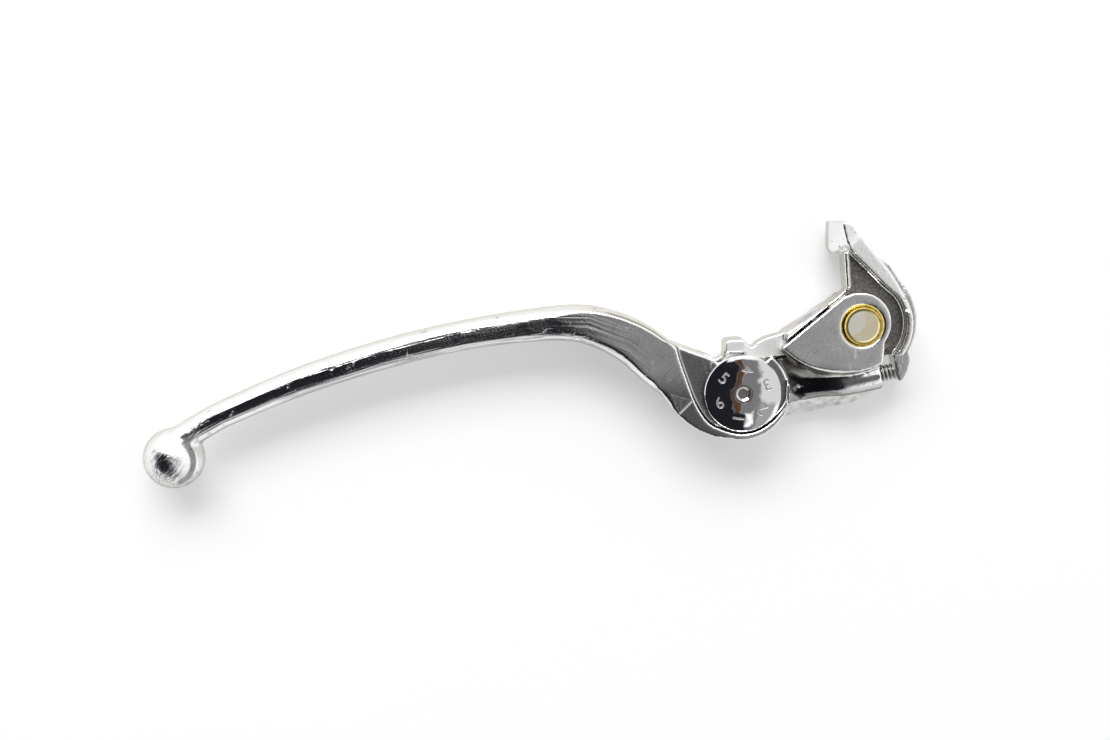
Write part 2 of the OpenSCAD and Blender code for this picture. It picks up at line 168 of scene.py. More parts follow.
def turned_metal(name, colour, dark, roughness, centre=(0.0, 0.0), rings=9000.0, bore=None):
    """Machined metal with turning marks round an axis, a darker stain and perhaps a bore colour that is a
    painted reflection.
    """
    material, shader = new_material(name, colour, 1.0, roughness)
    tree = material.node_tree
    marks = place(tree, turned, Centre_X=centre[0], Centre_Y=centre[1], Rings=rings)
    mixed = blend_colour(tree, spread(tree, marks.outputs["Tone"], 0.42, 0.75), colour, dark)
    # Inside the bore's radius the colour turns paler: a painted reflection of the bright table.
    if bore:
        mixed = blend_colour(tree, spread(tree, marks.outputs["Radius"], 0.0043, 0.0041), mixed, bore)
    tree.links.new(mixed, shader.inputs["Base Color"])
    rough = spread(tree, marks.outputs["Tone"], 0.3, 0.7, roughness * 0.8, roughness * 1.4)
    tree.links.new(rough, shader.inputs["Roughness"])
    bump = put(tree, "ShaderNodeBump", Strength=0.35, Distance=0.000012)
    tree.links.new(marks.outputs["Height"], bump.inputs["Height"])
    tree.links.new(bump.outputs["Normal"], shader.inputs["Normal"])
    return material


def dress(node, material):
    """The material on every slot of a CAD node."""
    for index in range(len(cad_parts[node].material_slots)):
        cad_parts[node].material_slots[index].material = material


# The bush's pale bore colour is a painted reflection of the bright table.
dress("pivot_bush", turned_metal("reamed_brass", (0.88, 0.68, 0.2), (0.56, 0.42, 0.12), 0.16,
                                 bore=(0.94, 0.86, 0.64)))


# ---- Knocker ----------------------------------------------------------------
# A small aluminium casting between the blade's ears. Its arm rests on the cam,
# its horn reaches past the pivot to the stop, and its foot takes the spring.
# It is tumbled after casting, so its edges are soft and its faces stay grainy.

def casting_from(node, name, voxel, rounding, extra=None):
    """A copy of a CAD node with the soft edges of a casting, joined with an extra lump if given."""
    piece = bpy.data.objects.new(name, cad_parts[node].data.copy())
    bpy.context.scene.collection.objects.link(piece)
    bpy.ops.object.select_all(action="DESELECT")
    piece.select_set(True)
    bpy.context.view_layer.objects.active = piece
    if extra:
        extra.select_set(True)
        bpy.ops.object.join()
    bpy.ops.object.mode_set(mode="EDIT")
    bpy.ops.mesh.select_all(action="SELECT")
    bpy.ops.mesh.remove_doubles(threshold=0.000002)
    bpy.ops.object.mode_set(mode="OBJECT")
    remesh = piece.modifiers.new("skin", "REMESH")
    remesh.mode = "VOXEL"
    remesh.voxel_size = voxel
    bpy.ops.object.modifier_apply(modifier="skin")
    soften(piece, rounding)
    return piece


def soften(piece, repeats, where=None):
    """Rounds a piece's edges, all over or only where the test on a place holds."""
    smooth = piece.modifiers.new("rounding", "SMOOTH")
    smooth.factor = 0.5
    smooth.iterations = repeats
    if where:
        group = piece.vertex_groups.new(name="rounding")
        for vertex in piece.data.vertices:
            weight = where(vertex.co)
            if weight > 0:
                group.add([vertex.index], weight, "REPLACE")
        smooth.vertex_group = "rounding"
    bpy.ops.object.modifier_apply(modifier="rounding")
    if where:
        piece.vertex_groups.clear()


# The skin of a sand-free casting: fine grain, shallow pits and a few nicks.
skin, skin_in, skin_out = make_group(
    "cast_skin", {"Grain": 2600.0, "Pits": 700.0, "Nicks": 260.0},
    {"Height": "NodeSocketFloat", "Tone": "NodeSocketFloat", "Pitting": "NodeSocketFloat"})
where = skin.nodes.new("ShaderNodeTexCoord")
grain = put(skin, "ShaderNodeTexNoise", Detail=3.0, Roughness=0.65)
skin.links.new(where.outputs["Object"], grain.inputs["Vector"])
skin.links.new(skin_in.outputs["Grain"], grain.inputs["Scale"])
pits = put(skin, "ShaderNodeTexNoise", Detail=4.0, Roughness=0.6)
skin.links.new(where.outputs["Object"], pits.inputs["Vector"])
skin.links.new(skin_in.outputs["Pits"], pits.inputs["Scale"])
nicks = put(skin, "ShaderNodeTexVoronoi", Randomness=1.0)
skin.links.new(where.outputs["Object"], nicks.inputs["Vector"])
skin.links.new(skin_in.outputs["Nicks"], nicks.inputs["Scale"])
pitting = spread(skin, pits.outputs["Fac"], 0.36, 0.27)
nicked = spread(skin, nicks.outputs["Distance"], 0.07, 0.03)
low = calc(skin, "ADD", calc(skin, "MULTIPLY", pitting, 1.6), calc(skin, "MULTIPLY", nicked, 1.2))
skin.links.new(calc(skin, "SUBTRACT", calc(skin, "MULTIPLY", grain.outputs["Fac"], 0.8), low),
               skin_out.inputs["Height"])
skin.links.new(grain.outputs["Fac"], skin_out.inputs["Tone"])
skin.links.new(calc(skin, "MAXIMUM", pitting, nicked), skin_out.inputs["Pitting"])

# The web runs on to the end of the channel below the pivot.
heel_place = (0.0072, -0.0073, 0)
heel_size = (0.0048, 0.0028, 0.0054)
heel_turn = math.radians(7)
bpy.ops.mesh.primitive_cube_add(size=1, location=heel_place, rotation=(0, 0, heel_turn))
heel = bpy.context.active_object
heel.scale = heel_size
bpy.ops.object.transform_apply(location=True, rotation=True, scale=True)
knocker = casting_from("knocker", "knocker_casting", 0.00028, 7, heel)
bpy.ops.object.shade_smooth()

# The horn's top face leans outward a little, away from the pivot.
horn_foot = 0.0045
horn_lean = 0.1
for vertex in knocker.data.vertices:
    outward = vertex.co.x * 0.85 + vertex.co.y * 0.5 - 0.007
    if vertex.co.z > horn_foot and vertex.co.y > 0.004 and outward > 0:
        vertex.co.z -= horn_lean * outward * min(1.0, (vertex.co.z - horn_foot) / 0.0015)

tumbled, shader = new_material("tumbled_casting", (0.9, 0.9, 0.895), 1.0, 0.2)
tree = tumbled.node_tree
surface = place(tree, skin, Grain=1500.0, Pits=430.0, Nicks=150.0)
where = tree.nodes.new("ShaderNodeTexCoord")
split = tree.nodes.new("ShaderNodeSeparateXYZ")
tree.links.new(where.outputs["Object"], split.inputs[0])
facing = tree.nodes.new("ShaderNodeSeparateXYZ")
tree.links.new(where.outputs["Normal"], facing.inputs[0])
level = calc(tree, "ABSOLUTE", split.outputs["Z"])
flat = spread(tree, calc(tree, "ABSOLUTE", facing.outputs["Z"]), 0.9, 0.98)
# The recessed web and the channel round the pivot are painted dark below: painted shade on their as-cast
# skin.
between = calc(tree, "MULTIPLY", spread(tree, level, 0.0040, 0.0032), spread(tree, level, 0.0015, 0.0022))
radius = calc(tree, "SQRT", calc(tree, "ADD", calc(tree, "POWER", split.outputs["X"], 2.0),
                                 calc(tree, "POWER", split.outputs["Y"], 2.0)))
channel = calc(tree, "MULTIPLY", spread(tree, radius, 0.0128, 0.0121), spread(tree, level, 0.0040, 0.0032))
web_skin_and_shade = calc(tree, "MULTIPLY", calc(tree, "MULTIPLY", flat, calc(tree, "MAXIMUM", between, channel)),
                spread(tree, split.outputs["X"], -0.016, -0.010))
ground = calc(tree, "MULTIPLY", flat, spread(tree, level, 0.0045, 0.0055))
arm_top = calc(tree, "MULTIPLY", flat, spread(tree, split.outputs["X"], -0.016, -0.019))
rough = calc(tree, "ADD", spread(tree, surface.outputs["Tone"], 0.3, 0.7, 0.07, 0.17),
             calc(tree, "ADD", calc(tree, "MULTIPLY", web_skin_and_shade, 0.3), calc(tree, "MULTIPLY", ground, 0.16)))
rough = calc(tree, "ADD", rough, calc(tree, "MULTIPLY", arm_top, 0.4))
tree.links.new(rough, shader.inputs["Roughness"])
bright = blend_colour(tree, surface.outputs["Pitting"], (0.9, 0.9, 0.895), (0.42, 0.42, 0.42))
# The web's dark speckled colour is painted shade over the speckle of its skin.
speckle_and_shade = blend_colour(tree, spread(tree, surface.outputs["Tone"], 0.38, 0.62), (0.27, 0.26, 0.24),
                       (0.14, 0.13, 0.12))
tree.links.new(blend_colour(tree, web_skin_and_shade, bright, speckle_and_shade), shader.inputs["Base Color"])
shader.inputs["Specular Tint"].default_value = (0.66, 0.64, 0.58, 1)
bump = put(tree, "ShaderNodeBump", Strength=0.55, Distance=0.00014)
calm = spread(tree, split.outputs["Y"], 0.0205, 0.0225, 1.0, 0.25)
tree.links.new(calc(tree, "MULTIPLY", surface.outputs["Height"], calm), bump.inputs["Height"])
tree.links.new(bump.outputs["Normal"], shader.inputs["Normal"])
knocker.data.materials.clear()
knocker.data.materials.append(tumbled)
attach(knocker, "knocker")
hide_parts("knocker")


# ---- Shims and pushrod seat ---------------------------------------------------
# Two thin bronze shims take up the play between the knocker and the ears. The
# seat is a hardened steel insert that is pressed into the arm for the pushrod.
bronze = turned_metal("rolled_bronze", (0.8, 0.55, 0.28), (0.5, 0.33, 0.16), 0.3)
dress("upper_shim", bronze)
dress("lower_shim", bronze)
seat_steel = turned_metal("ground_steel", (0.55, 0.56, 0.58), (0.3, 0.3, 0.31), 0.26,
                          centre=(-0.0134, 0.0021), rings=14000.0)
dress("pushrod_seat", seat_steel)


# ---- Blade --------------------------------------------------------------------
# The main aluminium casting: ball, swept blade, dogleg, dial pocket, two ears
# and spring lug in one. Its blade and edges are polished bright, and the flat
# faces of the neck and of the ears keep the satin skin of the die.

spine = [(-0.1844, -0.0357), (-0.177, -0.0272), (-0.1707, -0.0237), (-0.15, -0.015), (-0.128, -0.0079),
         (-0.1062, -0.0027), (-0.084, 0.0003), (-0.073, 0.0001), (-0.0618, -0.0041), (-0.0536, -0.0105),
         (-0.0467, -0.0176)]


def arm_share(place):
    """How much of a point belongs to the swept blade rather than the head."""
    return min(1.0, max(0.0, (-0.058 - place.x) / 0.008))


def shoulder_share(place):
    """How much of a point belongs to the corners where the blade meets the head."""
    corners = ((-0.0515, -0.0037), (-0.0525, -0.0197))
    reach = min(math.dist((place.x, place.y), corner) for corner in corners)
    return min(1.0, max(0.0, (0.0032 - reach) / 0.0015))


def lug_share(place):
    """How much of a point belongs to the hollow round the spring lug's root."""
    reach = math.dist((place.x, place.y, place.z), (-0.0075, -0.0165, 0.0025))
    return min(1.0, max(0.0, (0.0095 - reach) / 0.004)) if place.z > -0.001 else 0.0


def run_of(place):
    """A point's place along the blade's spine, across it and up."""
    along = 0.0
    for (x0, y0), (x1, y1) in zip(spine, spine[1:]):
        length = math.hypot(x1 - x0, y1 - y0)
        if place.x <= x1 or x1 == spine[-1][0]:
            ux, uy = (x1 - x0) / length, (y1 - y0) / length
            dx, dy = place.x - x0, place.y - y0
            return along + dx * ux + dy * uy, dy * ux - dx * uy, place.z
        along += length


blade = casting_from("lever_blade", "blade_casting", 0.00039, 3)
soften(blade, 36, arm_share)
soften(blade, 40, shoulder_share)
soften(blade, 60, lug_share)
bpy.ops.object.shade_smooth()

# The neck is ground flat nearly to its edge on the handlebar's side, on both faces.
ear_face = 0.0068
neck_start, neck_end = -0.096, -0.0495
neck_low = 0.0038
neck_lift = 0.00105


def ease(value):
    """Nought to one, held at the ends and eased into both."""
    held = min(1.0, max(0.0, value))
    return held * held * (3 - 2 * held)


for vertex in blade.data.vertices:
    x, height = vertex.co.x, abs(vertex.co.z)
    if neck_start < x < neck_end and height > neck_low:
        share = ease((x - neck_start) / 0.026) * ease((neck_end - x) / 0.003)
        share *= ease(run_of(vertex.co)[1] / 0.003)
        raised = height + neck_lift * share * ease((height - neck_low) / 0.0020)
        vertex.co.z = math.copysign(max(height, min(ear_face, raised)), vertex.co.z)

# The casting's own arrowhead is pressed flat, and a crisp one takes its place below.
for vertex in blade.data.vertices:
    if -0.0518 < vertex.co.x < -0.0442 and -0.0243 < vertex.co.y < -0.0170 and vertex.co.z > 0.0067:
        vertex.co.z = ear_face
run = blade.data.attributes.new("polish_run", "FLOAT_VECTOR", "POINT")
for vertex, item in zip(blade.data.vertices, run.data):
    item.vector = run_of(vertex.co)

polished, shader = new_material("polished_casting", (0.93, 0.93, 0.925), 1.0, 0.08)
tree = polished.node_tree
surface = place(tree, skin, Grain=1800.0, Pits=330.0, Nicks=95.0)
where = tree.nodes.new("ShaderNodeTexCoord")
split = tree.nodes.new("ShaderNodeSeparateXYZ")
tree.links.new(where.outputs["Object"], split.inputs[0])
facing = tree.nodes.new("ShaderNodeSeparateXYZ")
tree.links.new(where.outputs["Normal"], facing.inputs[0])
flat = spread(tree, calc(tree, "ABSOLUTE", facing.outputs["Z"]), 0.965, 0.992)
patches = put(tree, "ShaderNodeTexNoise", Scale=170.0, Detail=4.0, Roughness=0.65)
tree.links.new(where.outputs["Object"], patches.inputs["Vector"])
worn_edge = spread(tree, patches.outputs["Fac"], 0.25, 0.75, -0.012, 0.012)
worn_x = calc(tree, "ADD", split.outputs["X"], worn_edge)
inboard = spread(tree, worn_x, -0.088, -0.066)
satin = calc(tree, "MULTIPLY", flat, inboard)
# The flats below the ear face, and the foot of the ridge on its side turned to +X, get a darker tone below:
# painted shade.
low_band = spread(tree, split.outputs["Z"], 0.0056, 0.0052)
recess = calc(tree, "MULTIPLY", satin, low_band)
upper = calc(tree, "SUBTRACT", satin, recess)
ridge_foot = calc(tree, "MULTIPLY", spread(tree, facing.outputs["X"], 0.15, 0.3),
                  calc(tree, "MULTIPLY", spread(tree, split.outputs["Z"], 0.0062, 0.0058),
                       calc(tree, "MULTIPLY", spread(tree, split.outputs["Z"], 0.0044, 0.0047),
                            spread(tree, split.outputs["X"], -0.034, -0.037))))
recess = calc(tree, "MAXIMUM", recess, ridge_foot)

# Polishing lines that run along the blade, a fine set over a broad one.
along = tree.nodes.new("ShaderNodeAttribute")
along.attribute_name = "polish_run"
lines = []
for fineness, stretch in ((2600.0, 26.0), (700.0, 9.0)):
    comb = put(tree, "ShaderNodeMapping", Scale=(stretch, fineness, fineness))
    tree.links.new(along.outputs["Vector"], comb.inputs["Vector"])
    line = put(tree, "ShaderNodeTexNoise", Scale=1.0, Detail=2.0, Roughness=0.5)
    tree.links.new(comb.outputs["Vector"], line.inputs["Vector"])
    lines.append(line.outputs["Fac"])
on_arm = spread(tree, split.outputs["X"], -0.055, -0.075)
on_ball = spread(tree, split.outputs["X"], -0.170, -0.178)
streaks = calc(tree, "ADD", calc(tree, "MULTIPLY", lines[0], 0.45), lines[1])
streaks = calc(tree, "MULTIPLY", streaks, on_arm)
mottle = put(tree, "ShaderNodeTexNoise", Scale=430.0, Detail=6.0, Roughness=0.62)
tree.links.new(where.outputs["Object"], mottle.inputs["Vector"])

bright = blend_colour(tree, surface.outputs["Pitting"], (0.93, 0.93, 0.925), (0.6, 0.6, 0.59))
cloud = spread(tree, patches.outputs["Fac"], 0.35, 0.7)
speckle_and_shade = spread(tree, surface.outputs["Tone"], 0.34, 0.66)
skin_tone = blend_colour(tree, cloud, (0.86, 0.86, 0.865), (0.68, 0.68, 0.685))
skin_tone = blend_colour(tree, calc(tree, "MULTIPLY", speckle_and_shade, 0.55), skin_tone, (0.4, 0.4, 0.405))
turn = put(tree, "ShaderNodeMapping", Rotation=(0, 0, -0.9))
tree.links.new(where.outputs["Object"], turn.inputs["Vector"])
comb = put(tree, "ShaderNodeMapping", Scale=(110.0, 1500.0, 1.0))
tree.links.new(turn.outputs["Vector"], comb.inputs["Vector"])
scratch = put(tree, "ShaderNodeTexNoise", Scale=1.0, Detail=2.0, Roughness=0.5)
tree.links.new(comb.outputs["Vector"], scratch.inputs["Vector"])
scratched = spread(tree, scratch.outputs["Fac"], 0.64, 0.72, 0.0, 0.6)
skin_tone = blend_colour(tree, scratched, skin_tone, (0.24, 0.24, 0.25))
flats = blend_colour(tree, upper, bright, skin_tone)
# Darker speckled tone for the recessed flats: painted shade.
painted_recess_shade = blend_colour(tree, speckle_and_shade, (0.34, 0.335, 0.34), (0.2, 0.195, 0.2))
tone = blend_colour(tree, recess, flats, painted_recess_shade)

# The strip under the ears stays rough from the die. The hollow beside the lug
# and the outside of the dogleg are painted near black: painted shade.
as_cast = calc(tree, "MULTIPLY", spread(tree, split.outputs["Z"], -0.0008, -0.0016),
               spread(tree, split.outputs["X"], -0.062, -0.048))
rough_tone = calc(tree, "MULTIPLY", as_cast, spread(tree, mottle.outputs["Fac"], 0.4, 0.62, 0.1, 0.75))
tone = blend_colour(tree, rough_tone, tone, (0.5, 0.49, 0.48))
# Near-black in the hollow beside the lug: painted shade.
hollow = calc(tree, "MULTIPLY", spread(tree, split.outputs["Z"], 0.0036, 0.0024),
              spread(tree, split.outputs["Z"], -0.0012, -0.0004))
hollow = calc(tree, "MULTIPLY", hollow, spread(tree, split.outputs["X"], -0.038, -0.035))
painted_hollow_shade = calc(tree, "MULTIPLY", hollow, spread(tree, patches.outputs["Fac"], 0.3, 0.7, 0.95, 0.6))
tone = blend_colour(tree, painted_hollow_shade, tone, (0.1, 0.09, 0.085))
# Near-black on the flats outside the dogleg: painted shade.
dogleg = calc(tree, "MULTIPLY", spread(tree, split.outputs["Y"], -0.0115, -0.0185),
              spread(tree, split.outputs["X"], -0.030, -0.038))
dogleg = calc(tree, "MULTIPLY", dogleg, upper)
tone = blend_colour(tree, calc(tree, "MULTIPLY", dogleg, 0.75), tone, (0.1, 0.1, 0.11))
# Grey polishing lines only on faces turned towards -Y: real lines, their grey a painted reflection of the
# shaded table.
polish_lines_and_shade = calc(tree, "MULTIPLY", spread(tree, facing.outputs["Y"], -0.25, -0.5),
             calc(tree, "MULTIPLY", on_arm, spread(tree, lines[0], 0.44, 0.6)))
tone = blend_colour(tree, calc(tree, "MULTIPLY", polish_lines_and_shade, 0.9), tone, (0.4, 0.4, 0.42))
tree.links.new(tone, shader.inputs["Base Color"])
shader.inputs["Specular Tint"].default_value = (0.66, 0.64, 0.56, 1)
rough = calc(tree, "ADD", calc(tree, "MULTIPLY", calc(tree, "MAXIMUM", satin, as_cast), 0.27),
             spread(tree, surface.outputs["Tone"], 0.3, 0.7, 0.05, 0.12))
tree.links.new(rough, shader.inputs["Roughness"])
rise = calc(tree, "SUBTRACT", spread(tree, as_cast, 0, 1, 1, 5), calc(tree, "MULTIPLY", upper, 0.5))
relief = calc(tree, "ADD", calc(tree, "MULTIPLY", surface.outputs["Height"], rise),
              calc(tree, "MULTIPLY", streaks, 3.4))
low_bump = put(tree, "ShaderNodeBump", Strength=0.6, Distance=0.00012)
tree.links.new(relief, low_bump.inputs["Height"])
bump = put(tree, "ShaderNodeBump", Strength=0.55, Distance=0.0004)
tree.links.new(calc(tree, "MULTIPLY", mottle.outputs["Fac"], on_ball), bump.inputs["Height"])
tree.links.new(low_bump.outputs["Normal"], bump.inputs["Normal"])
tree.links.new(bump.outputs["Normal"], shader.inputs["Normal"])
blade.data.materials.clear()
blade.data.materials.append(polished)
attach(blade, "blade")
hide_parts("lever_blade")

# The raised arrowhead beside the dial, which points at the number in use.
mark_low, mark_high = 0.0067, 0.00722
mark_sink = 0.00036
mark_slope = 0.00052
mark_corners = ((-0.0508, -0.0181), (-0.0448, -0.0202), (-0.0482, -0.0237))
bpy.ops.object.select_all(action="DESELECT")
bpy.ops.mesh.primitive_circle_add(vertices=3, radius=0.003, fill_type="NGON", location=(0, 0, mark_low))
mark = bpy.context.active_object
mark.name = "index_mark"
bpy.ops.object.transform_apply(location=True, rotation=True, scale=True)
ring = mark.data.polygons[0].vertices[:]
for index, corner in zip(reversed(ring), mark_corners):
    mark.data.vertices[index].co.x, mark.data.vertices[index].co.y = corner
bpy.ops.object.mode_set(mode="EDIT")
bpy.ops.mesh.select_all(action="SELECT")
bpy.ops.mesh.extrude_region_move(TRANSFORM_OT_translate={"value": (0, 0, mark_high - mark_low)})
bpy.ops.mesh.select_all(action="SELECT")
bpy.ops.mesh.normals_make_consistent(inside=False)
bpy.ops.object.mode_set(mode="OBJECT")
for vertex in mark.data.vertices:
    if vertex.co.z > mark_low + 0.0001 and vertex.co.y > -0.0195:
        vertex.co.z -= mark_sink
    elif vertex.co.z > mark_low + 0.0001:
        vertex.co.x -= mark_slope
        vertex.co.y += mark_slope
edge = mark.modifiers.new("worn_edges", "BEVEL")
edge.width = 0.00006
edge.segments = 1
bpy.ops.object.modifier_apply(modifier="worn_edges")
bpy.ops.object.shade_smooth_by_angle(angle=math.radians(12))
mark_skin, shader = new_material("mark_skin", (0.6, 0.6, 0.605), 1.0, 0.28)
tree = mark_skin.node_tree
surface = place(tree, skin, Grain=2600.0, Pits=700.0, Nicks=300.0)
tree.links.new(blend_colour(tree, surface.outputs["Pitting"], (0.6, 0.6, 0.605), (0.3, 0.3, 0.3)),
               shader.inputs["Base Color"])
tree.links.new(spread(tree, surface.outputs["Tone"], 0.3, 0.7, 0.2, 0.36), shader.inputs["Roughness"])
bump = put(tree, "ShaderNodeBump", Strength=0.25, Distance=0.00004)
tree.links.new(surface.outputs["Height"], bump.inputs["Height"])
tree.links.new(bump.outputs["Normal"], shader.inputs["Normal"])
mark.data.materials.append(mark_skin)
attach(mark, "blade")


# ---- Cam and wave washer --------------------------------------------------------
# A sintered steel cam between the ears, and the thin sprung washer that holds
# the dial up against the head of its pin.
dial_low, dial_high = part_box("adjuster_dial")
dial_x = (dial_low.x + dial_high.x) / 2
dial_y = (dial_low.y + dial_high.y) / 2
dress("adjuster_cam", turned_metal("sintered_steel", (0.42, 0.42, 0.43), (0.25, 0.25, 0.25), 0.38,
                                   centre=(dial_x, dial_y), rings=3000.0))
dress("wave_washer", turned_metal("blue_spring_steel", (0.5, 0.51, 0.55), (0.3, 0.3, 0.33), 0.25,
                                  centre=(dial_x, dial_y)))


# ---- Dial -----------------------------------------------------------------------
# A turned and chromed disc with a low dome, stamped with the numbers 1 to 6. The
# fork of the blade carries it on a pin, and its hub drives the cam. Only the disc
# is made here, without the hub and the hole for the pin.
dial_r = (dial_high.x - dial_low.x) / 2
dial_top = dial_high.z
dome_rise = 0.0008
rim_top = dial_top - dome_rise
rim_low = rim_top - 0.0017
rim_round = 0.0002
pin_head_r = 0.0026
hollow_depth = 0.0007
dome_steps = 14

bpy.ops.object.select_all(action="DESELECT")
bpy.ops.mesh.primitive_circle_add(vertices=144, radius=dial_r - rim_round, fill_type="NGON",
                                  location=(dial_x, dial_y, rim_low))
dial = bpy.context.active_object
dial.name = "numbered_dial"
bpy.ops.object.transform_apply(location=True, rotation=True, scale=True)
bpy.ops.object.mode_set(mode="EDIT")
bpy.ops.mesh.select_all(action="SELECT")


def ring_up(rise, scale):
    """Extrudes the selected rim or face upwards and scales it about the dial's axis."""
    bpy.ops.mesh.extrude_region_move(TRANSFORM_OT_translate={"value": (0, 0, rise)})
    bpy.ops.transform.resize(value=(scale, scale, 1), center_override=(dial_x, dial_y, 0))


ring_up(rim_round, dial_r / (dial_r - rim_round))
ring_up(rim_top - rim_low - 2 * rim_round, 1)
ring_up(rim_round, (dial_r - rim_round) / dial_r)
r_now, z_now = dial_r - rim_round, rim_top
for step in range(1, dome_steps + 1):
    r_next = dial_r - (dial_r - pin_head_r) * step / dome_steps - (rim_round if step < dome_steps else 0)
    z_next = dial_top - dome_rise * (r_next / dial_r) ** 2
    ring_up(z_next - z_now, r_next / r_now)
    r_now, z_now = r_next, z_next
ring_up(-hollow_depth, 1)
bpy.ops.mesh.select_all(action="SELECT")
bpy.ops.mesh.remove_doubles(threshold=0.000001)
bpy.ops.mesh.normals_make_consistent(inside=False)
bpy.ops.object.mode_set(mode="OBJECT")
bpy.ops.object.select_all(action="DESELECT")

digit_r = 0.0067
digit_h = 0.0031
six_at = 202
step_angle = 60
stamped, shader = new_material("stamped_chrome", (0.86, 0.86, 0.86), 1.0, 0.34)
tree = stamped.node_tree
surface = place(tree, skin, Grain=5200.0, Pits=1500.0, Nicks=900.0)
tree.links.new(spread(tree, surface.outputs["Tone"], 0.3, 0.7, 0.26, 0.46), shader.inputs["Roughness"])
bump = put(tree, "ShaderNodeBump", Strength=0.4, Distance=0.00003)
tree.links.new(surface.outputs["Height"], bump.inputs["Height"])
tree.links.new(bump.outputs["Normal"], shader.inputs["Normal"])
chrome, shader = new_material("mirror_chrome", (0.93, 0.93, 0.935), 1.0, 0.03)
dial.data.materials.append(chrome)
for number in range(1, 7):
    angle = math.radians(six_at - step_angle * (6 - number)) % (2 * math.pi)
    bpy.ops.object.text_add(location=(0, 0, 0))
    stamp = bpy.context.active_object
    stamp.data.body = str(number)
    stamp.data.size = digit_h / 0.69
    stamp.data.align_x = "CENTER"
    stamp.data.align_y = "CENTER"
    stamp.data.extrude = 0.0006
    stamp.data.offset = 0.00007
    stamp.data.resolution_u = 4
    bpy.ops.object.convert(target="MESH")
    stamp = bpy.context.active_object
    solid = stamp.modifiers.new("solid", "REMESH")
    solid.mode = "VOXEL"
    solid.voxel_size = 0.00005
    bpy.ops.object.modifier_apply(modifier="solid")
    stamp.data.materials.clear()
    stamp.data.materials.append(stamped)
    stamp.rotation_euler = (0, 0, angle - math.pi)
    level = dial_top - dome_rise * (digit_r / dial_r) ** 2
    stamp.location = (dial_x + digit_r * math.cos(angle), dial_y + digit_r * math.sin(angle),
                      level + 0.00035)
    bpy.ops.object.transform_apply(location=True, rotation=True, scale=True)
    cut = dial.modifiers.new("stamped", "BOOLEAN")
    cut.operation = "DIFFERENCE"
    cut.solver = "EXACT"
    cut.material_mode = "TRANSFER"
    cut.object = stamp
    bpy.ops.object.select_all(action="DESELECT")
    bpy.context.view_layer.objects.active = dial
    dial.select_set(True)
    bpy.ops.object.modifier_apply(modifier="stamped")
    bpy.data.objects.remove(stamp)

bpy.ops.object.shade_smooth_by_angle(angle=math.radians(28))

shader = chrome.node_tree.nodes["Principled BSDF"]
tree = chrome.node_tree
where = tree.nodes.new("ShaderNodeTexCoord")
haze = put(tree, "ShaderNodeTexNoise", Scale=420.0, Detail=5.0, Roughness=0.6)
tree.links.new(where.outputs["Object"], haze.inputs["Vector"])
tree.links.new(spread(tree, haze.outputs["Fac"], 0.45, 0.75, 0.02, 0.11), shader.inputs["Roughness"])
wave = put(tree, "ShaderNodeTexNoise", Scale=160.0, Detail=1.0)
tree.links.new(where.outputs["Object"], wave.inputs["Vector"])
bump = put(tree, "ShaderNodeBump", Strength=0.25, Distance=0.00006)
tree.links.new(wave.outputs["Fac"], bump.inputs["Height"])
tree.links.new(bump.outputs["Normal"], shader.inputs["Normal"])
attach(dial, "dial")
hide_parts("adjuster_dial")


# ---- Pin and E-ring ---------------------------------------------------------------
# The steel pin that the dial turns on, with a hollow head, and the blackened
# spring-steel ring that snaps into its groove under the lower ear.
dress("adjuster_pin", turned_metal("bright_pin", (0.72, 0.72, 0.73), (0.45, 0.44, 0.43), 0.14,
                                   centre=(dial_x, dial_y), rings=14000.0))
dress("pin_e_ring", turned_metal("blackened_steel", (0.06, 0.06, 0.065), (0.12, 0.1, 0.09), 0.42,
                                 centre=(dial_x, dial_y), rings=5000.0))


# ---- Return spring ------------------------------------------------------------------
# A small compression spring of plated music wire, between the lug's blind hole
# and the knocker's foot. It shortens as the dial moves the blade away.
axis_angle = math.radians(12)
mouth = (0.0061, -0.0139, 0.0)
wire_r = 0.0003
coil_r = 0.0019
turns = 11
steps_a_turn = 32
spring_start = -0.0071
spring_length = 0.0115
spring_seat = (mouth[0] + spring_start * math.cos(axis_angle),
               mouth[1] + spring_start * math.sin(axis_angle), 0)

bpy.ops.object.select_all(action="DESELECT")
bpy.ops.mesh.primitive_circle_add(vertices=14, radius=wire_r, fill_type="NOTHING",
                                  rotation=(math.radians(90), 0, 0), location=(coil_r, 0, 0))
spring = bpy.context.active_object
spring.name = "coil_spring"
bpy.ops.object.transform_apply(location=True, rotation=True, scale=True)
screw = spring.modifiers.new("coil", "SCREW")
screw.axis = "Z"
screw.angle = 2 * math.pi * turns
screw.screw_offset = spring_length
screw.steps = steps_a_turn * turns
screw.render_steps = steps_a_turn * turns
bpy.ops.object.modifier_apply(modifier="coil")
bpy.ops.object.mode_set(mode="EDIT")
bpy.ops.mesh.select_all(action="DESELECT")
bpy.ops.mesh.select_non_manifold()
bpy.ops.mesh.edge_face_add()
bpy.ops.mesh.select_all(action="SELECT")
bpy.ops.mesh.normals_make_consistent(inside=False)
bpy.ops.object.mode_set(mode="OBJECT")
spring.location = spring_seat
spring.rotation_euler = (0, math.radians(90), axis_angle)
bpy.ops.object.transform_apply(location=True, rotation=True, scale=True)
bpy.ops.object.shade_smooth_by_angle(angle=math.radians(50))

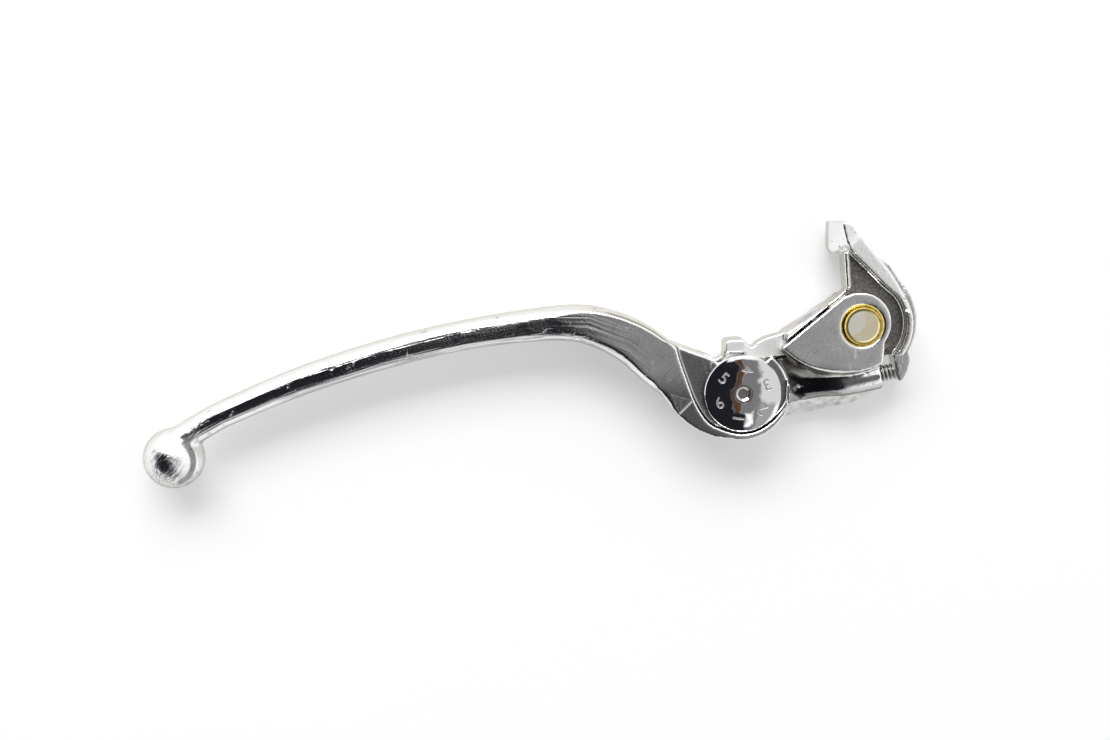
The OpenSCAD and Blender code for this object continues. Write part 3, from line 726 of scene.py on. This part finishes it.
plated, shader = new_material("plated_wire", (0.34, 0.37, 0.35), 1.0, 0.2)
tree = plated.node_tree
where = tree.nodes.new("ShaderNodeTexCoord")
film = put(tree, "ShaderNodeTexNoise", Scale=1500.0, Detail=3.0, Roughness=0.6)
tree.links.new(where.outputs["Object"], film.inputs["Vector"])
tree.links.new(blend_colour(tree, spread(tree, film.outputs["Fac"], 0.35, 0.65), (0.36, 0.4, 0.36),
                            (0.2, 0.2, 0.2)), shader.inputs["Base Color"])
tree.links.new(spread(tree, film.outputs["Fac"], 0.3, 0.7, 0.14, 0.32), shader.inputs["Roughness"])
spring.data.materials.append(plated)
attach(spring, "blade")
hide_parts("return_spring")
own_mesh(spring)


# ---- Table, lights and camera ---------------------------------------------------------
# The lever lies on a white lit table in a white studio, with one soft window
# behind it. The polished metal mirrors the dark ceiling over it.
floor_z = cad_box[0][2]
bpy.ops.object.select_all(action="DESELECT")
bpy.ops.mesh.primitive_plane_add(size=6, location=(0, 0, floor_z))
table = bpy.context.active_object
table.name = "white_table"
paper, shader = new_material("white_paper", (0.57, 0.57, 0.575), 0.0, 0.9)
shader.inputs["Emission Color"].default_value = (1.0, 1.0, 1.0, 1)
shader.inputs["Emission Strength"].default_value = 0.375
table.data.materials.append(paper)

# White walls all round, and a dark ceiling that begins a little behind the
# lever and runs forward, with a brown door edge and grey panels on its right.
# Each panel is placed by its slopes from the lever, and shows in the polish.
world = bpy.data.worlds.new("white_studio")
bpy.context.scene.world = world
world.use_nodes = True
sky = world.node_tree
direction = sky.nodes.new("ShaderNodeTexCoord")
split = sky.nodes.new("ShaderNodeSeparateXYZ")
sky.links.new(direction.outputs["Generated"], split.inputs[0])
lift = calc(sky, "MAXIMUM", split.outputs["Z"], 0.02)
ragged = put(sky, "ShaderNodeTexNoise", Scale=5.0, Detail=3.0, Roughness=0.55)
sky.links.new(direction.outputs["Generated"], ragged.inputs["Vector"])
wobble = spread(sky, ragged.outputs["Fac"], 0.3, 0.7, -0.05, 0.05)
side = calc(sky, "ADD", calc(sky, "DIVIDE", split.outputs["X"], lift), wobble)
depth = calc(sky, "ADD", calc(sky, "DIVIDE", split.outputs["Y"], lift), wobble)


def panel(left, right, front, back, blur):
    """A mask for a panel overhead, between slopes to the side and to the back."""
    mask = None
    for value, low, high in ((side, left, right), (depth, front, back)):
        edge_in = spread(sky, value, low - blur, low + blur)
        edge_out = spread(sky, value, high + blur, high - blur)
        both = calc(sky, "MULTIPLY", edge_in, edge_out)
        mask = both if mask is None else calc(sky, "MULTIPLY", mask, both)
    return mask


walls = (1.0, 1.0, 1.0)
front = spread(sky, depth, -1.5, -2.3)
colour = blend_colour(sky, front, walls, (0.72, 0.72, 0.73))
colour = blend_colour(sky, panel(0.29, 0.7, -0.3, 0.24, 0.03), colour, (0.66, 0.66, 0.65))
colour = blend_colour(sky, panel(0.25, 0.5, -2.2, -0.24, 0.03), colour, (0.34, 0.34, 0.35))
colour = blend_colour(sky, panel(0.14, 0.3, -1.5, 0.2, 0.012), colour, (0.18, 0.18, 0.185))
colour = blend_colour(sky, panel(0.08, 0.145, -1.5, 0.2, 0.01), colour, (0.1, 0.052, 0.034))
colour = blend_colour(sky, panel(-2.3, 0.09, -1.9, 0.15, 0.015), colour, (0.013, 0.013, 0.017))
colour = blend_colour(sky, panel(-2.3, -0.02, 0.1, 0.85, 0.03), colour, (0.013, 0.013, 0.017))
colour = blend_colour(sky, panel(-0.1, 0.2, -1.5, -0.33, 0.01), colour, (0.013, 0.013, 0.017))
colour = blend_colour(sky, panel(0.2, 0.265, -0.46, -0.31, 0.01), colour, walls)
background = sky.nodes["Background"]
sky.links.new(colour, background.inputs["Color"])
background.inputs["Strength"].default_value = 1.06

softbox = bpy.data.lights.new("window", "AREA")
softbox.shape = "RECTANGLE"
softbox.size, softbox.size_y = 2.6, 1.2
softbox.energy = 76
window = bpy.data.objects.new("window", softbox)
bpy.context.scene.collection.objects.link(window)
window.location = (-0.5, 2.03, 1.73)
lever_middle = Vector((-0.09, -0.01, 0))
window.rotation_euler = (lever_middle - window.location).to_track_quat("-Z", "Y").to_euler()

# The camera stands over the numbered side, leaning 8 degrees from upright.
camera_data = bpy.data.cameras.new("table_camera")
camera_data.lens = 48.3
camera_data.sensor_width = 36
camera_data.clip_start = 0.01
camera = bpy.data.objects.new("table_camera", camera_data)
bpy.context.scene.collection.objects.link(camera)
camera.location = (-0.091, 0.0439, 0.3972)
camera.rotation_euler = (math.radians(-8.05), math.radians(-1.38), math.radians(-0.1))
bpy.context.scene.camera = camera
bpy.context.scene.view_settings.view_transform = "Standard"
